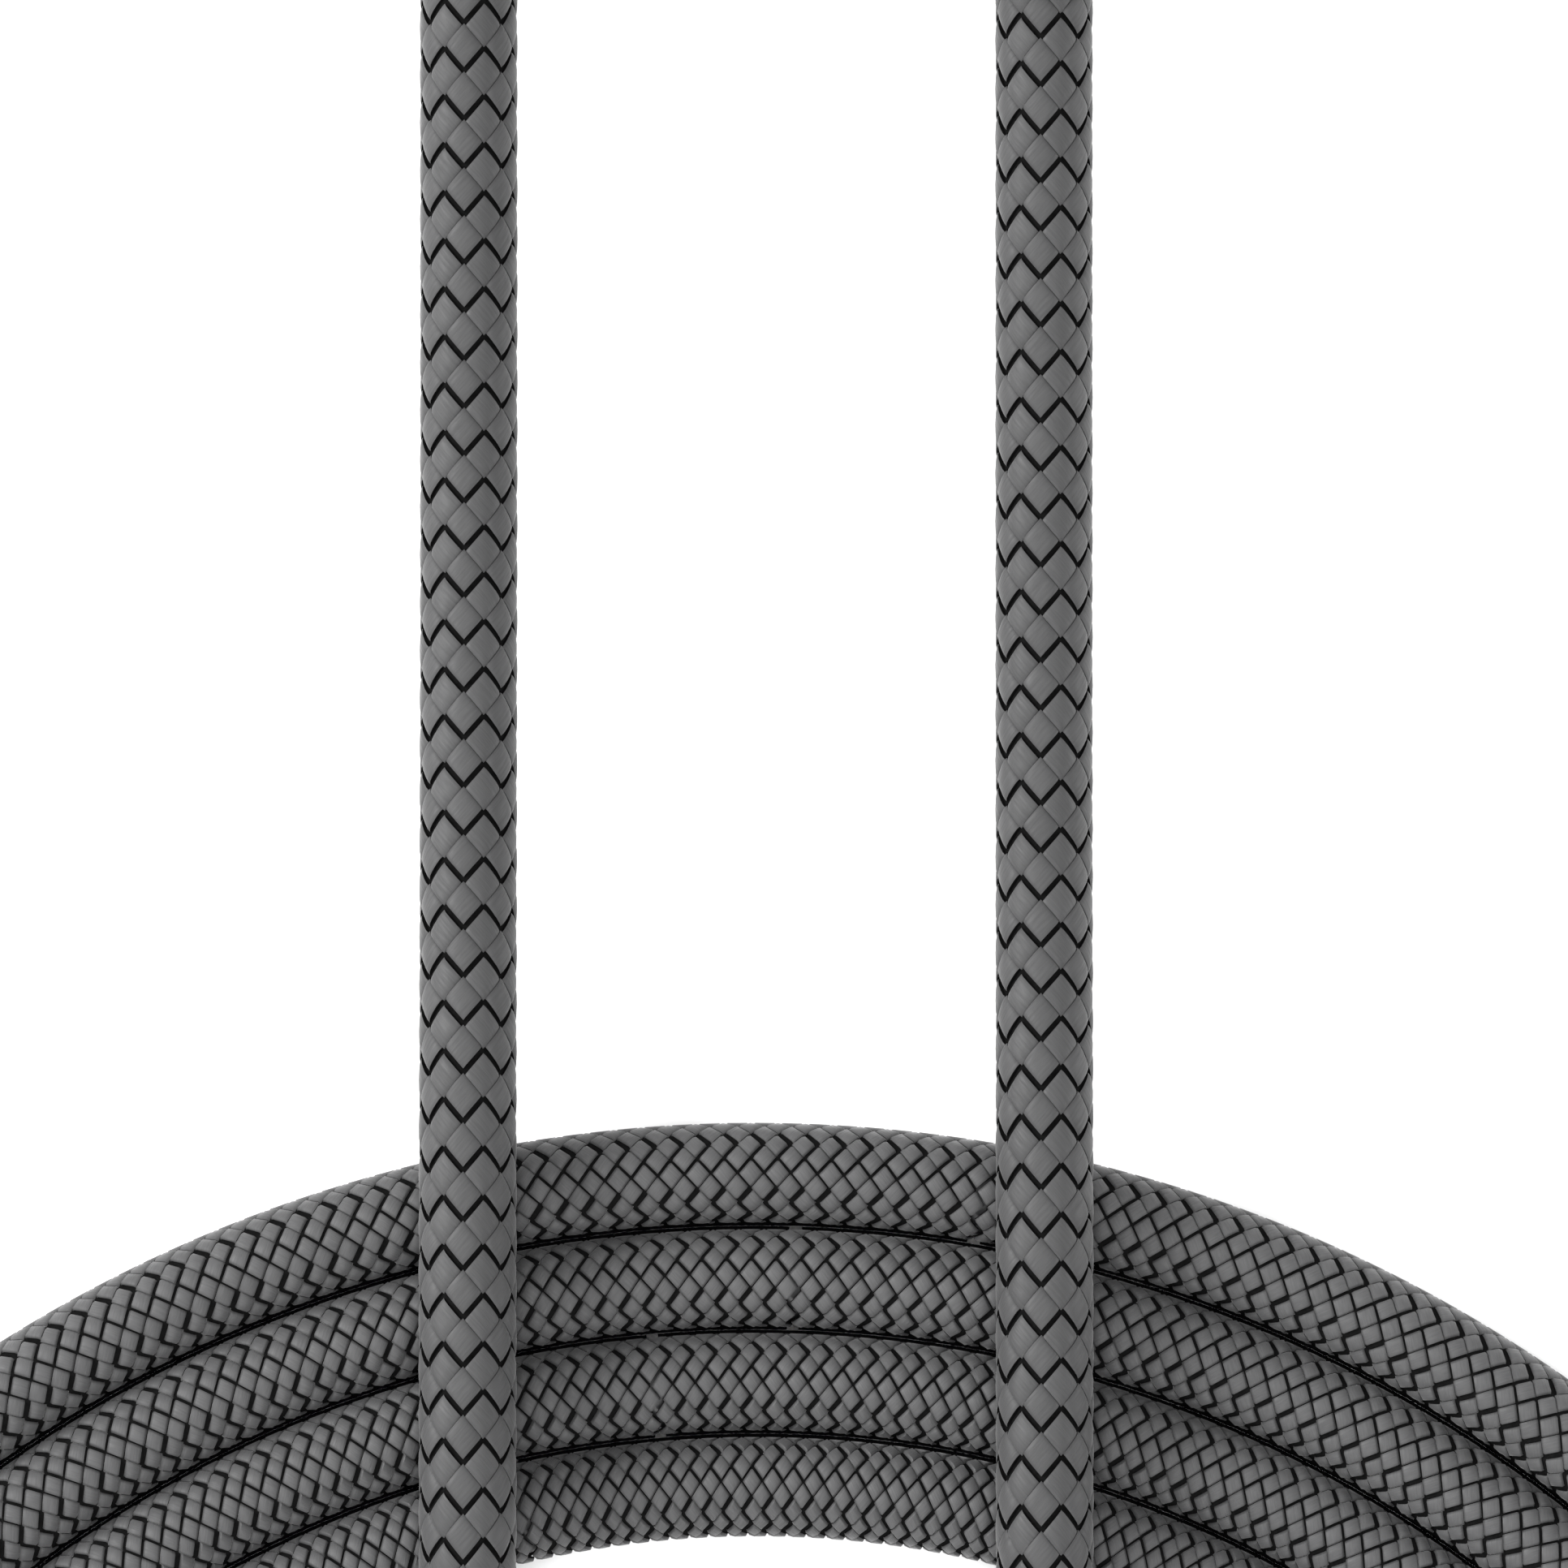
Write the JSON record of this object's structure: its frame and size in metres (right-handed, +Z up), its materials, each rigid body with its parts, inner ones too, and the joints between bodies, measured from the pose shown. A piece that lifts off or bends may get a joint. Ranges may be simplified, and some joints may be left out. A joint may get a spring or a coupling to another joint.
{
  "type": "charging cable",
  "caption": "Braided charging cable coiled flat, with two straight leads crossing the ring to a flat rectangular plug and an oval plug with ribbed strain reliefs.",
  "frame": {"origin": "on the floor, under the middle of the box round the two plugs, without the cable", "axes": "+Y towards the plugs' tips, along the two straight leads; +X across them, from the oval plug to the flat one; +Z up from the floor that the coil lies on"},
  "size_m": [0.116, 0.2125, 0.0084],
  "materials": {
    "braid": "tight polyester braid, grey with black gaps",
    "anodised": "fine-blasted, dark grey anodised",
    "nickel": "bright nickel plate on steel",
    "gold": "gold flash",
    "black_plastic": "fine texture",
    "ivory_plastic": "moulded, satin",
    "relief_rubber": "soft matt",
    "copper": "bare copper, crimped",
    "jacket": "smooth",
    "board_green": "solder mask",
    "wire_red": "gloss",
    "wire_white": "gloss",
    "wire_green": "gloss",
    "wire_black": "gloss"
  },
  "bodies": {
    "cable": {"cable_coil": "braid", "cable_lead_a": "braid", "cable_lead_c": "braid", "flex_a": "braid", "flex_c": "braid"},
    "wide_plug": {"a_shell": "nickel", "a_contact_block": "ivory_plastic", "a_pin_power": "gold", "a_pin_data_minus": "gold", "a_pin_data_plus": "gold", "a_pin_ground": "gold", "a_shield_can": "nickel", "a_inner_frame": "ivory_plastic", "a_sleeve": "anodised", "a_bezel": "black_plastic", "a_collar": "black_plastic", "a_relief": "relief_rubber", "a_ferrule": "copper", "a_jacket_end": "jacket", "a_wire_red": "wire_red", "a_wire_white": "wire_white", "a_wire_green": "wire_green", "a_wire_black": "wire_black"},
    "oval_plug": {"c_shell": "nickel", "c_insulator": "black_plastic", "c_contacts_top": "gold", "c_contacts_bottom": "gold", "c_spring_top": "nickel", "c_spring_bottom": "nickel", "c_board": "board_green", "c_resistor": "black_plastic", "c_shield_can": "nickel", "c_sleeve": "anodised", "c_bezel": "black_plastic", "c_collar": "black_plastic", "c_relief": "relief_rubber", "c_ferrule": "copper", "c_jacket_end": "jacket", "c_wire_red": "wire_red", "c_wire_white": "wire_white", "c_wire_green": "wire_green", "c_wire_black": "wire_black"},
    "latch_left": {"c_latch_left": "nickel"},
    "latch_right": {"c_latch_right": "nickel"}
  },
  "joints": [
    {"name": "wide_plug_lift", "type": "hinge", "parent": "cable", "child": "wide_plug", "pos_m": [0.0108, -0.034, 0.004], "axis": [1, 0, 0], "range_deg": [0, 60], "deforming": ["flex_a"]},
    {"name": "oval_plug_lift", "type": "hinge", "parent": "cable", "child": "oval_plug", "pos_m": [-0.0128, -0.02665, 0.003], "axis": [1, 0, 0], "range_deg": [0, 60], "deforming": ["flex_c"]},
    {"name": "latch_left_spread", "type": "hinge", "parent": "oval_plug", "child": "latch_left", "pos_m": [-0.01633, 0.019, 0.003], "axis": [0, 0, 1], "range_deg": [0, 2], "stiffness_Nm_per_rad": 0.02},
    {"name": "latch_right_spread", "type": "hinge", "parent": "oval_plug", "child": "latch_right", "pos_m": [-0.00927, 0.019, 0.003], "axis": [0, 0, -1], "range_deg": [0, 2], "stiffness_Nm_per_rad": 0.02}
  ]
}
